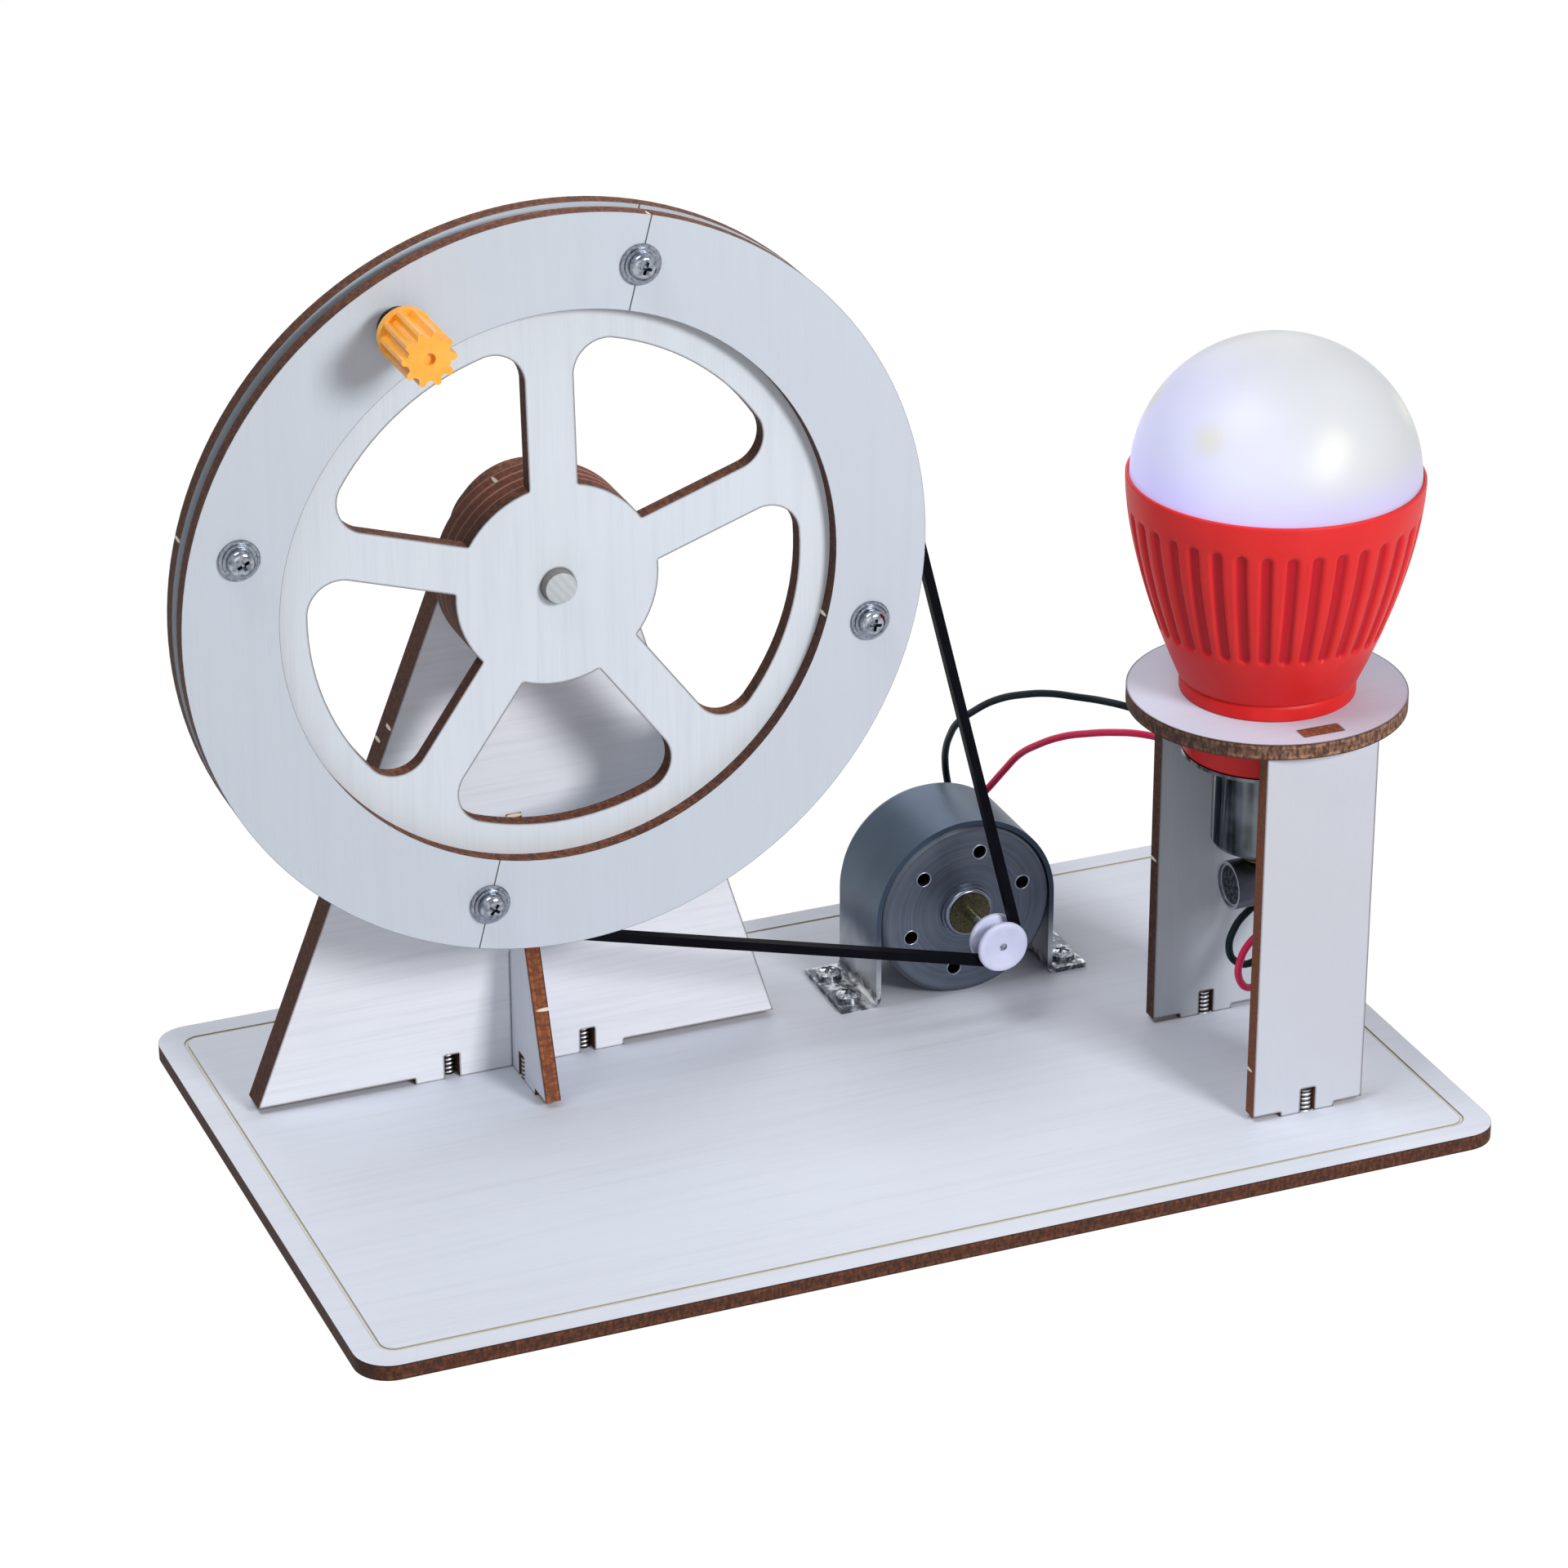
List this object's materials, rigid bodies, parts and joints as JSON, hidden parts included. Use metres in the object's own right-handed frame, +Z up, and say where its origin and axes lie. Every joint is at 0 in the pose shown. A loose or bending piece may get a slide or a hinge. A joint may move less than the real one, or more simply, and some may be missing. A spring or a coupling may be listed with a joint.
{
  "type": "hand crank generator",
  "caption": "Classroom generator of laser-cut plywood: a hand-cranked flywheel drives a small dynamo through a belt, and its wires light a red lamp on a stand.",
  "frame": {"origin": "middle of the base board's underside", "axes": "+X along the board's long side from the wheel to the lamp, +Y away from the crank's side, +Z up"},
  "size_m": [0.2057, 0.12, 0.1626],
  "materials": {
    "ply": "pale laser-cut plywood with burnt edges",
    "ply_hub": "plywood with burnt edges",
    "dowel": "plain dowel",
    "screw_steel": "bright zinc plate",
    "dark_steel": "dark plated",
    "motor_steel": "galvanised sheet",
    "strap_steel": "bright bent sheet",
    "bronze": "sintered bronze and brass",
    "magnet": "dark ferrite",
    "copper": "enamelled copper",
    "belt_rubber": "black, matt",
    "pulley_plastic": "white moulding",
    "handle_plastic": "orange moulding",
    "black_plastic": "black moulding",
    "bulb_red": "red, glossy",
    "dome_plastic": "opal, lit from inside",
    "led_base": "white-coated light board",
    "led_chip": "light chips",
    "cap_chrome": "polished",
    "capacitor_skin": "grey can",
    "black_insulation": "soft wire cover",
    "red_insulation": "soft wire cover"
  },
  "bodies": {
    "base": {"base_board": "ply", "floor_screws": "screw_steel", "stand_front_plate": "ply", "stand_back_plate": "ply", "stand_brace": "ply", "stand_spacer_front": "ply", "stand_spacer_middle": "ply", "stand_spacer_back": "ply", "drive_belt": "belt_rubber", "motor_can": "motor_steel", "motor_bearings": "bronze", "motor_magnets": "magnet", "motor_end_cap": "black_plastic", "motor_brushes": "bronze", "solder_tags": "bronze", "motor_strap": "strap_steel", "strap_screws": "screw_steel", "lamp_leg_front": "ply", "lamp_leg_back": "ply", "lamp_plate": "ply", "bulb_body": "bulb_red", "bulb_dome": "dome_plastic", "led_board": "led_base", "led_chips": "led_chip", "feed_wires": "copper", "bulb_cap": "cap_chrome", "cap_insulator": "black_plastic", "cap_contact": "bronze", "capacitor": "capacitor_skin", "capacitor_seal": "black_plastic", "capacitor_leads": "screw_steel", "solder_beads": "screw_steel", "black_wire": "black_insulation", "red_wire": "red_insulation"},
    "flywheel": {"front_ring_left": "ply", "front_ring_right": "ply", "spoke_disc": "ply", "back_ring_left": "ply", "back_ring_right": "ply", "hub_spacer_front": "ply_hub", "hub_spacer_middle": "ply_hub", "hub_spacer_back": "ply_hub", "axle": "dowel", "axle_retainer": "ply", "rim_screws": "screw_steel", "rim_washers": "screw_steel", "rim_nuts": "screw_steel", "crank_screw": "screw_steel", "crank_nut": "dark_steel", "crank_clip": "dark_steel"},
    "crank": {"crank_handle": "handle_plastic"},
    "rotor": {"motor_shaft": "screw_steel", "drive_pulley": "pulley_plastic", "armature_core": "dark_steel", "armature_coils": "copper", "commutator": "bronze"}
  },
  "joints": [
    {"name": "wheel_spin", "type": "hinge", "parent": "base", "child": "flywheel", "pos_m": [-0.0425, 0.0065, 0.0994], "axis": [0, 1, 0], "continuous": true},
    {"name": "handle_spin", "type": "hinge", "parent": "flywheel", "child": "crank", "pos_m": [-0.06862, -0.0067, 0.14791], "axis": [0, 1, 0], "continuous": true},
    {"name": "rotor_spin", "type": "hinge", "parent": "base", "child": "rotor", "pos_m": [0.037, 0.0065, 0.01875], "axis": [0, 1, 0], "continuous": true}
  ],
  "couplings": [
    {"joint": "rotor_spin", "follows": "wheel_spin", "ratio": 16.972}
  ]
}
